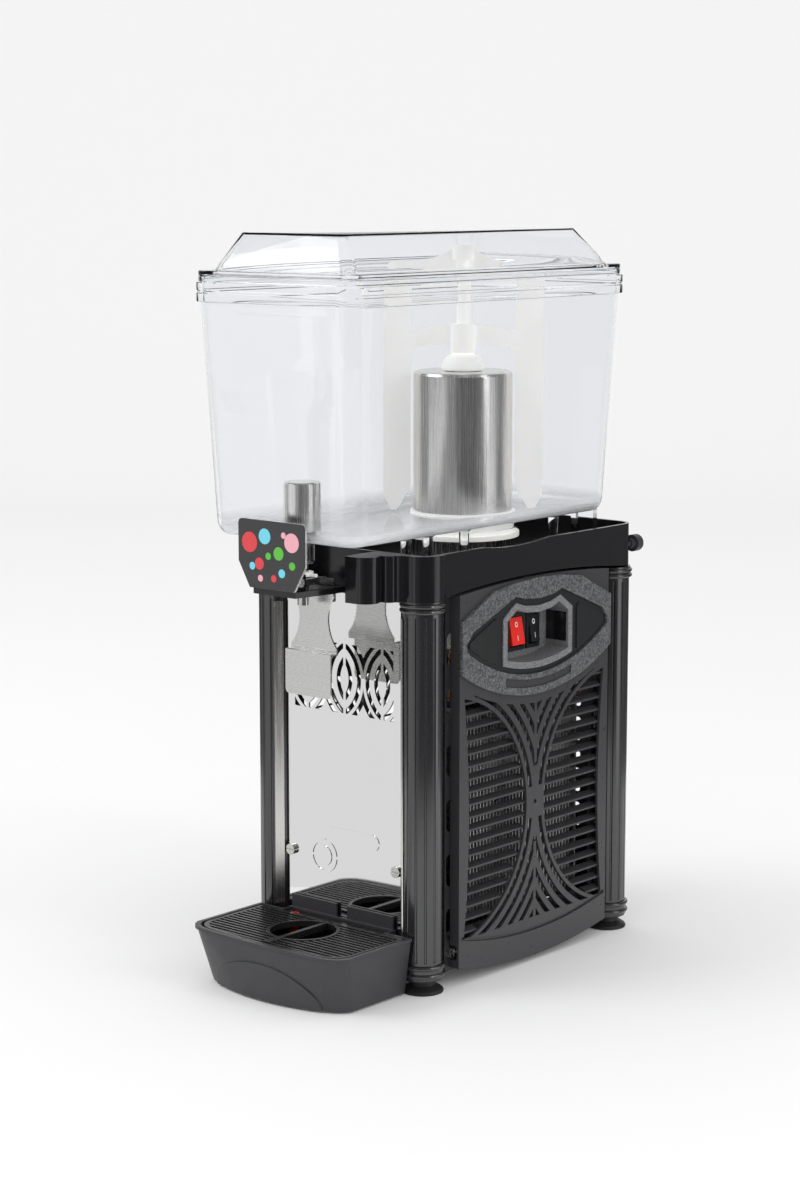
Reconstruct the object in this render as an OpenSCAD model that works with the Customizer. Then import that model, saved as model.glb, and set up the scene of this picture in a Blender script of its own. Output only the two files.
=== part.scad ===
// Single-bowl counter dispenser for slush and chilled drinks.
// Millimetres, +Z up, front of the machine towards -Y.
// Plans are drawn from the middle of the four columns, and placed() then moves them
// so that the origin lies under the middle of the whole machine.

/* [Cabinet] */
// Distance between left and right column centres
column_pitch_x = 163.4; // [160:0.2:168]
// Distance between front and rear column centres
column_pitch_y = 261.2; // [258:0.2:265]
// Diameter of a column
column_d = 33.8; // [32:0.2:34]
// Height of the column tops above the counter
column_top = 334; // [332:1:334]
// Distance from the centreline to the outer face of a side grille
face_x = 99.5; // [99:0.1:100]
// Number of grooves round each column
grooves = 13; // [12:1:20]

/* [Top basin] */
// Height of the basin's rim
basin_top = 372.5; // [370:0.5:374]
// Rise of the arched lower edge along each side
basin_arch = 9; // [6:0.5:10]
// Wall thickness of the basin
basin_wall = 3; // [2.5:0.1:3.5]

/* [Bowl and lid] */
// Outside width over the lid flange
rim_w = 176; // [174:1:178]
// Distance from the column middle forward to the front of the lid flange
rim_front = 229; // [227:1:230]
// Distance from the column middle back to the rear of the lid flange
rim_back = 144; // [142:1:145]
// Height of the bowl's underside
bowl_bottom = 384; // [383:0.5:385]
// Height of the lid flange's upper face
rim_top = 603; // [602:0.5:604]
// Height of the flat top of the lid
lid_top = 634; // [632:1:636]
// Wall thickness of the bowl and lid
clear_wall = 2.8; // [2.4:0.1:3]

/* [Cooling and stirring] */
// Position of the evaporator's axis behind the column middle
evap_y = 19; // [17:0.5:20]
// Radius of the evaporator
evap_r = 43.5; // [43:0.1:43.8]
// Height of the evaporator's flat top
evap_top = 511; // [509:0.5:512]
// Direction that the stirrer's frame points in when parked
stirrer_angle = 40; // [0:1:180]
// Radius swept by the stirrer's blades
blade_r = 70; // [66:0.5:70]
// Turns of the evaporator coil
coil_turns = 10; // [6:1:10]

/* [Tap] */
// Distance of the tap's axis in front of the column middle
tap_y = 187.5; // [186:0.5:188]
// Radius of the tap piston
piston_r = 15.2; // [14:0.2:16]
// Width of the push plate
plate_w = 51; // [44:1:52]

/* [Drip tray] */
// Distance from the column middle forward to the tray's front
tray_front = 246; // [244:1:248]
// Half of the tray's width
tray_half = 86; // [84:1:87]
// Height of the tray's rim
tray_top = 50.5; // [49:0.5:51]

/* [Hidden] */
$fn = 72;
wide_fn = 720;
knob_end = 162;
y_shift = (tray_front - knob_end) / 2;
col_x = column_pitch_x / 2;
col_y = column_pitch_y / 2;
col_r = column_d / 2;
pan_z = 11.5;
pan_t = 1.5;
col_z = pan_z + pan_t;
frame_x = 87.5;
frame_t = 2;
skin_t = 2.5;
skin_x = face_x - skin_t;
panel_half = 104;
panel_z = 15.8;
panel_sag = 10.6;
sag_r = (pow(panel_half, 2) + pow(panel_sag, 2)) / (2 * panel_sag);
groove_z = 27.8;
groove_r = 424;
screw_y = 103.5;
screw_z = 29;
arch_r = (pow(138, 2) + pow(basin_arch, 2)) / (2 * basin_arch);
lens_z = 143;
lens_r = 107;
waist = 12;
bezel_r = 195.4;
bezel_z = 239;
eye_r = 171;
eye_z = 257;
switch_z = 290.5;
recess_x = 77.5;
rocker_x = 76.5;
mirror_y = -138;
basin_x = 97.5;
basin_y = 147;
basin_front = -145;
dip = 3;
dip_r = 340;
dip_y = -25;
floor_z = 345;
floor_t = 3;
tongue_half = 30;
tongue_z = 340;
tongue_t = 5;
pin_y = -214;
pin_z = 352;
neck_y = -174.75;
sheet_t = 1.5;
bowl_r = 19;
bead_h = 16.5;
bead_z = 577;
bowl_draft = 0.0472;
rim_half = rim_w / 2;
bead_half = rim_half - 1.5;
lip_half = rim_half - 5;
lip_top = rim_top - 3.4;
tray_back = -150.5;
tray_wall = 2.5;
tray_floor = 8;
hole_y = -190;
hole_r = 28;
float_x = -47;
float_y = -150;
comp_x = -30;
comp_y = 60;
stub_top = 132;
fan_z = 136;
gland_x = -40;
gland_z = 44;
lock_x = 88;
lock_z = 352;
run_gap = 0.05;

// ---- shared shapes -------------------------------------------------------

module placed() translate([0, y_shift, 0]) children();

module block(x0, x1, y0, y1, z0, z1)
  translate([x0, y0, z0]) cube([x1 - x0, y1 - y0, z1 - z0]);

module rod_z(x, y, z0, z1, r) translate([x, y, z0]) cylinder(h = z1 - z0, r = r);

module rod_y(x, y0, y1, z, r)
  translate([x, y0, z]) rotate([-90, 0, 0]) cylinder(h = y1 - y0, r = r);

module rod_x(x0, x1, y, z, r)
  translate([x0, y, z]) rotate([0, 90, 0]) cylinder(h = x1 - x0, r = r);

module tube_z(x, y, z0, z1, r_in, r_out) difference() {
  rod_z(x, y, z0, z1, r_out);
  rod_z(x, y, z0 - 1, z1 + 1, r_in);
}

// A flat outline drawn in y and z, raised along X from x0 to x1
module across(x0, x1)
  translate([x0, 0, 0]) rotate([90, 0, 90]) linear_extrude(x1 - x0) children();

// A flat outline drawn in x and z, raised along Y from y0 to y1
module along(y0, y1)
  translate([0, y1, 0]) rotate([90, 0, 0]) linear_extrude(y1 - y0) children();

module round_rect(x0, x1, y0, y1, r) {
  translate([x0 + r, y0]) square([x1 - x0 - 2 * r, y1 - y0]);
  translate([x0, y0 + r]) square([x1 - x0, y1 - y0 - 2 * r]);
  for (x = [x0 + r, x1 - r], y = [y0 + r, y1 - r]) translate([x, y]) circle(r);
}

module round_slab(x0, x1, y0, y1, r, z0, z1)
  translate([0, 0, z0]) linear_extrude(z1 - z0) round_rect(x0, x1, y0, y1, r);

module obround(cx, cy, w, h) {
  translate([cx - w / 2, cy - h / 2 + w / 2]) square([w, h - w]);
  for (s = [-1, 1]) translate([cx, cy + s * (h - w) / 2]) circle(w / 2);
}

module torus_z(x, y, z, r, thick)
  translate([x, y, z]) rotate_extrude() translate([r, 0]) circle(thick);

// A round pipe along a list of points, with a brazed bead at each bend
module pipe(points, r, $fn = 16) {
  for (i = [0:len(points) - 2]) {
    d = points[i + 1] - points[i];
    translate(points[i])
      rotate([0, acos(d[2] / norm(d)), atan2(d[1], d[0])]) cylinder(h = norm(d), r = r);
  }
  for (i = [1:len(points) - 2]) translate(points[i]) sphere(1.2 * r);
}

// ---- chassis -------------------------------------------------------------

module base_pan() color("dimgray") placed() difference() {
  union() {
    translate([0, 0, pan_z]) linear_extrude(pan_t) {
      square([2 * (frame_x - 1), 2 * col_y], center = true);
      for (x = [-1, 1], y = [-1, 1]) translate([x * col_x, y * col_y]) circle(col_r);
    }
    for (s = [-1, 1]) block(s * 86 - 1, s * 86 + 1, -111, 111, col_z, 46);
    for (s = [-1, 1]) {
      block(s * 40 - 10, s * 40 + 10, -200, -128, 5.5, 7);
      block(s * 40 - 10, s * 40 + 10, -129.5, -128, 5.5, col_z);
    }
  }
  for (x = [-1, 1], y = [-1, 1]) rod_z(x * col_x, y * col_y, pan_z - 1, col_z + 1, 4.4);
  for (s = [-1, 1], y = [-screw_y, screw_y]) rod_x(s * 86 - 3, s * 86 + 3, y, screw_z, 2.2);
  for (x = [-60:12:48]) block(x, x + 6, -70, -10, pan_z - 1, col_z + 1);
}

// Three eyes side by side, each of nested arcs that bow left and right
module vent_arcs() for (k = [-1:1], s = [-1, 1], half = [6.8, 16.5, 23.8]) intersection() {
  translate([1.2 + 42.3 * k - s * 18, 259]) difference() {
    circle(half + 20.1);
    circle(half + 15.9);
  }
  translate([1.2 + 42.3 * k + (s > 0 ? 1.4 : -21.3), 229]) square([19.9, 60]);
  translate([-56, 229]) square([112, 60]);
}

module front_panel() color("gainsboro") placed() {
  along(mirror_y, mirror_y + sheet_t) difference() {
    translate([-64, col_z]) square([128, column_top - col_z]);
    vent_arcs();
    for (s = [-1, 1]) translate([s * 60, 101]) circle(2.2);
  }
  along(mirror_y - 0.6, mirror_y) translate([9, 121]) rotate(90) obround(0, 0, 14, 62);
  along(mirror_y - 0.6, mirror_y) translate([-23, 101]) difference() {
    circle(15);
    circle(12.5);
  }
  rod_y(-23, mirror_y - 0.6, mirror_y, 101, 9);
}

module rear_panel() color("dimgray") placed()
  along(-mirror_y - sheet_t, -mirror_y) difference() {
    translate([-64, col_z]) square([128, column_top - col_z]);
    for (z = [90:16:282]) translate([0, z]) rotate(90) obround(0, 0, 6, 92);
    translate([gland_x, gland_z]) circle(7.6);
  }

module side_frame(side) color("black") placed() mirror([side < 0 ? 1 : 0, 0, 0])
  difference() {
    across(frame_x, frame_x + frame_t) difference() {
      translate([-111, col_z]) square([222, column_top - col_z]);
      translate([-92, 36]) square([184, 218]);
      translate([-54, 260]) square([108, 64]);
      for (s = [-1, 1], i = [0:5]) obround(s * 103.5, 289.7 - 47.3 * i, 11, 28);
    }
    for (y = [-screw_y, screw_y]) rod_x(frame_x - 1, frame_x + 4, y, screw_z, 2.2);
  }

module side_outline() intersection() {
  translate([-panel_half, 0]) square([2 * panel_half, 345]);
  translate([0, 341 - arch_r]) circle(arch_r, $fn = wide_fn);
  translate([0, panel_z - panel_sag + sag_r]) circle(sag_r, $fn = wide_fn);
}

module under_bezel(gap) difference() {
  translate([-panel_half, 40]) square([2 * panel_half, 240]);
  translate([0, bezel_z + bezel_r]) circle(bezel_r + gap, $fn = wide_fn);
}

// One of the two lens-shaped openings beside the waist
module lens(s) intersection() {
  translate([s * (waist + lens_r), lens_z]) circle(lens_r);
  under_bezel(6);
  difference() {
    translate([min(0, s * 98), 40]) square([98, 240]);
    translate([s * (91 + 835), lens_z]) circle(835, $fn = wide_fn);
  }
}

module chevron_slots(s) for (k = [0:4], h = [-1, 1]) intersection() {
  translate([s * (waist + lens_r), lens_z]) difference() {
    circle(lens_r + 8.3 + 10.2 * k);
    circle(lens_r + 3.6 + 10.2 * k);
  }
  under_bezel(8);
  translate([0, groove_z + groove_r]) circle(groove_r - 5, $fn = wide_fn);
  translate([s > 0 ? 1.8 : -84, h > 0 ? lens_z + 14 : 30]) square([82.2, lens_z - 44]);
}

// Shallow groove, 3 mm wide, inside a circle of radius r whose lowest point is at height z
module arc_groove(z, r) across(face_x - 1.8, face_x + 1) intersection() {
  translate([0, z + r]) difference() {
    circle(r, $fn = wide_fn);
    circle(r - 3, $fn = wide_fn);
  }
  translate([-101.5, 0]) square([203, 235]);
}

module louvres(s) for (i = [0:18]) {
  z = 44 + 11 * i;
  reach = waist + lens_r - sqrt(pow(lens_r, 2) - pow(min(z - lens_z, 100), 2)) - 1;
  translate([0, s > 0 ? 100 : -reach, 0]) rotate([90, 0, 0])
    linear_extrude(100 - reach)
      polygon([[skin_x + 0.4, z], [skin_x + 0.4, z + 1.8], [90.6, z + 4.2], [90.6, z + 2.4]]);
}

module side_grille(side, open) color("#1c1d1f") placed() mirror([side < 0 ? 1 : 0, 0, 0]) {
  difference() {
    across(skin_x, face_x) difference() {
      side_outline();
      for (s = [-1, 1]) {
        lens(s);
        chevron_slots(s);
      }
      for (z = [-34, 0, 34]) translate([0, lens_z + z]) circle(1.9);
      if (open) visor(3.5);
    }
    arc_groove(groove_z, groove_r);
    arc_groove(bezel_z - 3.2, bezel_r + 3.2);
  }
  across(face_x - 1, face_x + 1.8) label_slot();
  across(frame_x + frame_t, skin_x) difference() {
    side_outline();
    translate([-panel_half + 2.5, 14]) square([2 * panel_half - 5, 322]);
    for (y = [-screw_y, screw_y]) translate([y, screw_z]) circle(6);
  }
  for (s = [-1, 1]) louvres(s);
}

// ---- control bezel, the same outline on both sides -----------------------

module bezel_outline() intersection() {
  translate([0, bezel_z + bezel_r]) circle(bezel_r, $fn = wide_fn);
  polygon([[-103.8, 230], [-103.8, 313.5], [-60, 335], [-30, 339], [0, 340.3],
           [30, 339], [60, 335], [103.8, 313.5], [103.8, 230]]);
}

module eye_outline(inset) intersection() {
  translate([0, eye_z + eye_r]) circle(eye_r - inset, $fn = wide_fn);
  polygon([[-98 + inset, 250], [-98 + inset, 294], [-90 + inset, 303.5 - inset],
           [-32.5, 327 - inset], [-20, 323.5 - inset], [0, 321.8 - inset],
           [20, 323.5 - inset], [32.5, 327 - inset], [90 - inset, 303.5 - inset],
           [98 - inset, 294], [98 - inset, 250]]);
}

// Outline of the switch recess, shrunk by inset
module visor(inset) intersection() {
  translate([0, eye_z + eye_r]) circle(eye_r - 4.5 - inset, $fn = wide_fn);
  polygon([[-48.5 + inset, 250], [-48.5 + inset, 309.5 - inset / 2],
           [-31 + inset / 3, 321.5 - inset], [-18, 317.5 - inset], [0, 315.8 - inset],
           [18, 317.5 - inset], [31 - inset / 3, 321.5 - inset],
           [48.5 - inset, 309.5 - inset / 2], [48.5 - inset, 250]]);
}

module label_slot() intersection() {
  translate([0, bezel_z + bezel_r]) difference() {
    circle(189, $fn = wide_fn);
    circle(182, $fn = wide_fn);
  }
  round_rect(-46, 46, 240, 262, 3);
}

module bezel_ring() {
  across(face_x, face_x + 3) difference() {
    bezel_outline();
    eye_outline(0);
    label_slot();
  }
}

module lens_pads() for (s = [-1, 1]) across(face_x + 1, face_x + 2.2) intersection() {
  eye_outline(4.5);
  round_rect(s > 0 ? 55 : -100, s > 0 ? 100 : -55, 262, 312, 6);
}

module blank_bezel() color("#55585b") placed() mirror([1, 0, 0]) {
  bezel_ring();
  across(face_x, face_x + 1) eye_outline(0);
  lens_pads();
}

module control_bezel() color("#55585b") placed() bezel_ring();

module control_fascia() color("#202224") placed() {
  across(face_x, face_x + 1) difference() {
    eye_outline(0.2);
    visor(0);
  }
  lens_pads();
}

module control_recess() color("#707376") placed() {
  across(face_x, face_x + 2) difference() {
    visor(0.2);
    visor(6);
  }
  across(recess_x, face_x) difference() {
    visor(4);
    visor(6);
  }
  across(recess_x - 2, recess_x) difference() {
    visor(4);
    translate([-13.5, switch_z - 14.5]) square([21, 29]);
    translate([13.5, switch_z - 14.5]) square([15, 29]);
  }
}

module switch_body(y0, y1) difference() {
  union() {
    block(recess_x, recess_x + 2, y0, y1, switch_z - 16.5, switch_z + 16.5);
    block(58, recess_x, y0 + 1.7, y1 - 1.7, switch_z - 14.3, switch_z + 14.3);
    for (z = [-8, 0, 8])
      block(50, 58, (y0 + y1) / 2 - 2.5, (y0 + y1) / 2 + 2.5, switch_z + z - 0.5, switch_z + z + 0.5);
  }
  block(61, recess_x + 3, y0 + 3, y1 - 3, switch_z - 13.2, switch_z + 13.2);
  rod_y(rocker_x, y0 + 1, y1 - 1, switch_z, 1.2 + run_gap);
}

module power_switch_body() color("#151515") placed() switch_body(-15, 9);
module stir_switch_body() color("#151515") placed() switch_body(12, 30);

// A rocker with a stub pin at each end, drawn in x and z from its pivot
module rocker(y0, y1) {
  translate([rocker_x, y1, switch_z]) rotate([90, 0, 0]) linear_extrude(y1 - y0)
    polygon([[6.3, -11.1], [4.6, -11.9], [-2, -11.5], [-8, -6], [-8, 6], [-2, 11.5], [2.2, 12.5],
             [4.3, 0.2]]);
  rod_y(rocker_x, y0 - 1, y1 + 1, switch_z, 1.2);
}

module power_rocker() color("red") placed() rocker(-11.7, 5.7);
module stir_rocker() color("#101010") placed() rocker(15.3, 26.7);

// ---- columns, feet and fasteners -----------------------------------------

module column(sx, sy) color("#17181a") placed()
  translate([sx * col_x, sy * col_y, 0]) difference() {
    union() {
      rod_z(0, 0, col_z, column_top, col_r);
      rod_z(0, 0, col_z, 25, col_r + 0.9);
      rod_z(0, 0, 324, column_top, col_r + 0.9);
      for (z = [16.5, 23.5, 326, 330.5]) torus_z(0, 0, z, col_r + 0.7, 2);
    }
    for (i = [0:grooves - 1]) rotate(360 / grooves * (i + 0.5))
      rod_z(col_r + 0.1, 0, 28, 321, 1.1, $fn = 24);
    rod_z(0, 0, col_z - 1, 42, 4);
  }

module column_front_left() column(-1, -1);
module column_front_right() column(1, -1);
module column_rear_left() column(-1, 1);
module column_rear_right() column(1, 1);

// Polished strips on the inner front of the two front columns
module column_trims() color("silver") placed() for (s = [-1, 1])
  translate([s * col_x, -col_y, 0]) mirror([s > 0 ? 1 : 0, 0, 0]) rotate(-47)
    block(col_r + 0.1, col_r + 1.3, -4, 4, 30, 319);

module feet() color("#202020") placed() for (x = [-1, 1], y = [-1, 1])
  translate([x * col_x, y * col_y, 0]) rotate_extrude()
    polygon([[4.3, 2.5], [4.3, pan_z], [11.5, pan_z], [11, 9], [11.6, 6.5], [17, 3], [18, 1.4],
             [17.6, 0], [8, 0], [7, 2.5]]);

module foot_bolts() color("silver") placed() for (x = [-1, 1], y = [-1, 1]) {
  rod_z(x * col_x, y * col_y, 2.5, 38, 4 - run_gap);
  rod_z(x * col_x, y * col_y, 0.6, 2.5, 6.5);
}

module panel_screws() color("silver") placed() for (s = [-1, 1]) difference() {
  union() {
    rod_y(s * 60, mirror_y - 3.2, mirror_y, 101, 4.8);
    rod_y(s * 60, mirror_y, mirror_y + 12, 101, 2);
  }
  block(s * 60 - 5, s * 60 + 5, mirror_y - 4, mirror_y - 2, 100.5, 101.5);
}

module base_screws() color("silver") placed() for (s = [-1, 1], y = [-screw_y, screw_y])
  mirror([s < 0 ? 1 : 0, 0, 0]) difference() {
    union() {
      rod_x(frame_x + frame_t, frame_x + 6, y, screw_z, 4.6);
      rod_x(80, frame_x + frame_t, y, screw_z, 2);
    }
    block(frame_x + 4.8, frame_x + 7, y - 0.6, y + 0.6, screw_z - 3.5, screw_z + 3.5);
    block(frame_x + 4.8, frame_x + 7, y - 3.5, y + 3.5, screw_z - 0.6, screw_z + 0.6);
  }

// ---- top basin -----------------------------------------------------------

// Lobed horn in front of a column, beside the notch for the tap
module horn(s) {
  translate([s * col_x, -col_y]) circle(19);
  translate([s * 53.5, -170.5]) circle(12);
  translate([s * 65.5, -155]) circle(7);
  translate([s * 73, -148.5]) circle(6);
  polygon([[s * 42, -140], [s * 42, -182.5], [s * 53.5, -182.5], [s * 66, -157],
           [s * 80, -140]]);
}

module basin_outline() {
  translate([-basin_x, -col_y]) square([2 * basin_x, col_y + basin_y - 16]);
  round_rect(-basin_x, basin_x, basin_front, basin_y, 16);
  for (s = [-1, 1]) horn(s);
}

module top_basin() color("#141517") placed() difference() {
  union() {
    translate([0, 0, column_top]) linear_extrude(basin_top - column_top) basin_outline();
    translate([0, 0, tongue_z]) linear_extrude(tongue_t)
      polygon([[-23.4, -222.5], [23.4, -222.5], [tongue_half, -182], [tongue_half, basin_front + 1],
               [-tongue_half, basin_front + 1], [-tongue_half, -182]]);
    for (s = [-1, 1]) {
      block(s * 19 - 2, s * 19 + 2, -222.5, -207, tongue_z + 1, pin_z + 6);
      block(s * 28 - 2, s * 28 + 2, -159, -148, tongue_z - 10, tongue_z + 1);
    }
  }
  // inside of the basin, and the hollow under its floor
  round_slab(-basin_x + basin_wall, basin_x - basin_wall, basin_front + basin_wall,
             basin_y - basin_wall, 13, floor_z + floor_t, basin_top + 1);
  round_slab(-62, 62, basin_front + basin_wall, basin_y - basin_wall, 5,
             column_top - 1, floor_z);
  round_slab(-basin_x + basin_wall, basin_x - basin_wall, -110, 110, 4,
             column_top - 1, floor_z);
  // arched lower edge along each side
  translate([-basin_x - 1, 0, 0]) rotate([90, 0, 90]) linear_extrude(2 * basin_x + 2)
    intersection() {
      translate([0, column_top + basin_arch - arch_r]) circle(arch_r, $fn = wide_fn);
      translate([-137, column_top - 1]) square([274, basin_arch + 2]);
    }
  // shallow dip in the rim of each side wall
  translate([-basin_x - 1, dip_y, basin_top - dip + dip_r]) rotate([0, 90, 0])
    cylinder(h = 2 * basin_x + 2, r = dip_r, $fn = wide_fn);
  // coil, drain, lever and tap pass through, and the evaporator stands on the first hole's rim
  rod_z(0, evap_y, floor_z - 1, floor_z + floor_t + 1, evap_r - 1.5);
  rod_z(0, -155, tongue_z - 1, tongue_z + tongue_t + 1, 3.5);
  rod_z(0, -tap_y, tongue_z - 1, tongue_z + tongue_t + 1, 6.2);
  block(-23.5, 23.5, -179, -166, tongue_z - 1, tongue_z + tongue_t + 1);
  rod_x(-24, 24, pin_y, pin_z, 2.5 + run_gap);
  rod_y(lock_x, basin_y - basin_wall - 6, basin_y + 1, lock_z, 3 + run_gap);
}

module drain_spout() color("tan") placed() {
  tube_z(0, -155, 327.5, tongue_z, 3.5, 5.3);
}

module badge_plate() color("#222426") placed() along(-226, -222.5) {
  round_rect(-36.7, 36.7, 367, 402, 4);
  polygon([[-36.7, 375], [-36.7, 367], [-24.2, 345.5], [24.2, 345.5], [36.7, 367], [36.7, 375]]);
}

module lock_screw() color("#2a2a2a") placed() {
  rod_y(lock_x, 128.4, basin_y + 7, lock_z, 3);
  rod_y(lock_x, basin_y + 2, basin_y + 7, lock_z, 4.6);
  difference() {
    rod_y(lock_x, basin_y + 7, knob_end, lock_z, 7.6);
    for (i = [0:17]) translate([lock_x, 0, lock_z]) rotate([0, 20 * i, 0])
      rod_y(7.9, basin_y + 8.5, knob_end + 1, 0, 0.6);
  }
}

// ---- evaporator, drive and stirrer ---------------------------------------

module evaporator() color("silver") placed() translate([0, evap_y, 0]) rotate_extrude()
  polygon([[evap_r - 1, floor_z + floor_t], [evap_r, floor_z + floor_t], [evap_r, evap_top - 3],
           [evap_r - 0.9, evap_top - 0.9], [evap_r - 3, evap_top], [4.1, evap_top],
           [4.1, evap_top - 1.2], [evap_r - 3.4, evap_top - 1.2], [evap_r - 1, evap_top - 3.4]]);

coil_steps = 12;
coil_sides = 6;
coil_r = evap_r - 4.6;
coil_pitch = 12;

// Ring of points round the coil's tube at step i
function coil_ring(i) =
  let (a = 360 * i / coil_steps, z = 364 + coil_pitch * i / coil_steps)
  [for (j = [0:coil_sides - 1])
    let (b = 360 * j / coil_sides)
    [(coil_r + 3 * cos(b)) * cos(a), (coil_r + 3 * cos(b)) * sin(a), z + 3 * sin(b)]];

module evaporator_coil() color("peru") placed() translate([0, evap_y, 0]) {
  last = coil_turns * coil_steps;
  points = [for (i = [0:last], p = coil_ring(i)) p];
  walls = [for (i = [0:last - 1], j = [0:coil_sides - 1])
    let (k = (j + 1) % coil_sides, a = i * coil_sides, b = a + coil_sides)
    [a + j, a + k, b + k, b + j]];
  first_end = [for (j = [coil_sides - 1:-1:0]) j];
  last_end = [for (j = [0:coil_sides - 1]) last * coil_sides + j];
  polyhedron(points, concat(walls, [first_end, last_end]));
}

module shaft_tube() color("darkgray") placed() tube_z(0, evap_y, 331, 490, 4 + run_gap, 6.5);

module centre_pin() color("silver") placed() {
  rod_z(0, evap_y, evap_top - 1.2, 519.5, 4);
  rod_z(0, evap_y, evap_top - 2.4, evap_top - 1.2, 6);
}

module bowl_gasket() color("whitesmoke") placed() {
  tube_z(0, evap_y, 370, 388.5, evap_r, 46.4);
  tube_z(0, evap_y, 366, 370, evap_r, 51);
}

module drive_motor() color("gray") placed() {
  difference() {
    union() {
      rod_z(0, evap_y, 268, 322, 31);
      round_slab(-24, 24, evap_y - 54, evap_y + 54, 5, 322, 331);
    }
    rod_z(0, evap_y, 300, 332, 4 + run_gap);
  }
  for (x = [-18, 18], y = [-48, 48]) rod_z(x, evap_y + y, 331, floor_z, 3);
}

module drive_shaft() color("silver") placed() rod_z(0, evap_y, 302, 497, 4);

module drive_magnet() color("#303030") placed() {
  rod_z(0, evap_y, 497, 507.6, 19);
}

module stirrer() color("white") placed() translate([0, evap_y, 0]) rotate(stirrer_angle) {
  inner = evap_r + 2.4;
  // hub, shaft and upper hub
  difference() {
    rod_z(0, 0, 526.8, 552, 10.9);
    rod_z(0, 0, 526, 532, 5);
  }
  rod_z(0, 0, 552, 604, 5.4);
  rod_z(0, 0, 603, 619, 9.4);
  along(-1.8, 1.8) {
    for (s = [-1, 1]) {
      // cross arm with an arched underside
      polygon([[0, 533.5], [s * 30, 534], [s * 40, 532], [s * inner, 526], [s * (inner + 2), 526],
               [s * (inner + 2), 545], [s * 10, 552], [0, 552]]);
      // top bar and its gusset
      polygon([[0, 590], [s * (inner + 2), 590], [s * (inner + 2), 600], [s * 40, 601.5],
               [s * 26, 604.5], [s * 14, 611], [s * 8, 618], [0, 618]]);
      // blade, with both lower corners cut back
      polygon([[s * inner, 409], [s * (inner + 12), 388.5], [s * (blade_r - 7), 388.5],
               [s * blade_r, 403], [s * blade_r, 592], [s * (blade_r - 8), 600],
               [s * inner, 600]]);
    }
  }
}

module stirrer_cup() color("white") placed() translate([0, evap_y, 0]) rotate_extrude()
  polygon([[4 + run_gap, 511.6], [7.6, 511.6], [7.6, 518.4], [16.2, 518.4], [16.2, 511.6], [18, 511.6],
           [18.8, 513.5], [18, 518], [14.5, 523], [9, 526], [5, 526.8], [4.9, 531.5], [0, 531.5],
           [0, 520.5], [4 + run_gap, 520.5]]);

module stirrer_magnet() color("#303030") placed()
  tube_z(0, evap_y, 511.9, 518.4, 7.6, 16.2);

// ---- bowl and lid --------------------------------------------------------

// Plan of the bowl's outside at height z, less inset
module bowl_plan(z, inset) {
  half = bead_half - 2.5 - bowl_draft * (bead_z - z) - inset;
  front = -rim_front + 4 + bowl_draft * (bead_z - z) + inset;
  back = rim_back - 5 - bowl_draft * (bead_z - z) - inset;
  translate([0, 0, z]) linear_extrude(0.5)
    round_rect(-half, half, front, back, bowl_r - min(inset, 8), $fn = 32);
}

module rim_band(inset, z0, z1) round_slab(
  -rim_half + inset, rim_half - inset, -rim_front + inset, rim_back - inset,
  bowl_r - min(inset, 6), z0, z1);

module bowl_shell() difference() {
  hull() {
    bowl_plan(bowl_bottom, 9);
    bowl_plan(bowl_bottom + 3, 3.2);
    bowl_plan(bowl_bottom + 12, 0);
    bowl_plan(bead_z, 0);
  }
  hull() {
    bowl_plan(bowl_bottom + clear_wall, 11);
    bowl_plan(bowl_bottom + clear_wall + 3, 5.4);
    bowl_plan(bowl_bottom + 13, clear_wall);
    bowl_plan(bead_z + 1, clear_wall);
  }
}

// Leg that stands on the basin's floor
module bowl_leg(x, y) translate([x, y, floor_z + floor_t + 0.3])
  cylinder(h = bowl_bottom - floor_z - floor_t + 1, r1 = 2.6, r2 = 4.6);

module bowl() color([0.85, 0.92, 0.96, 0.4]) placed() difference() {
  union() {
    bowl_shell();
    difference() {
      union() {
        rim_band(1.5, bead_z, bead_z + bead_h);
        rim_band(5.2, bead_z + bead_h, lip_top);
      }
      rim_band(7, bead_z - 1, lip_top + 1);
    }
    for (s = [-1, 1], y = [-134, -106, -58, 66]) bowl_leg(s * 66, y);
    tube_z(0, evap_y, 374, bowl_bottom + 1, 46.8, 49.5);
    tube_z(0, -tap_y, 364, bowl_bottom + 1, 6.6, 9.4);
    // lug that the lock screw bears on
    block(64, 92, 124, 128, floor_z + floor_t + 0.3, floor_z + 16);
    block(60, 68, 100, 128, floor_z + floor_t + 0.3, bowl_bottom + 2);
  }
  rod_z(0, evap_y, bowl_bottom - 1, bowl_bottom + 14, 46.8);
  rod_z(0, -tap_y, bowl_bottom - 1, bowl_bottom + 14, 6.6);
}

module lid_plan(half, front, back, r, z)
  translate([0, 0, z]) linear_extrude(0.5) round_rect(-half, half, -front, back, r, $fn = 32);

module lid() color([0.85, 0.92, 0.96, 0.4]) placed() difference() {
  union() {
    rim_band(0, lip_top - 5.6, rim_top);
    hull() {
      lid_plan(76, 216, 132, 12, rim_top - 1);
      lid_plan(73.5, 214, 128, 12, rim_top + 6);
      lid_plan(57, 200, 107, 5, lid_top - 0.5);
    }
  }
  rim_band(4.8, lip_top - 6, lip_top + 0.3);
  hull() {
    lid_plan(76 - clear_wall, 216 - clear_wall, 132 - clear_wall, 10, lip_top - 1);
    lid_plan(73.5 - clear_wall, 214 - clear_wall, 128 - clear_wall, 10, rim_top + 5);
    lid_plan(57 - clear_wall, 200 - clear_wall, 107 - clear_wall, 4, lid_top - clear_wall - 0.5);
  }
}

// ---- tap -----------------------------------------------------------------

module tap_piston() color("silver") placed() translate([0, -tap_y, 0]) rotate_extrude()
  polygon([[3.4, 328.4], [4.8, 328.4], [4.8, 390], [piston_r, 390], [piston_r, 430.2],
           [piston_r - 1.2, 431.4], [0, 431.4], [0, 400], [3.4, 400]]);

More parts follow.
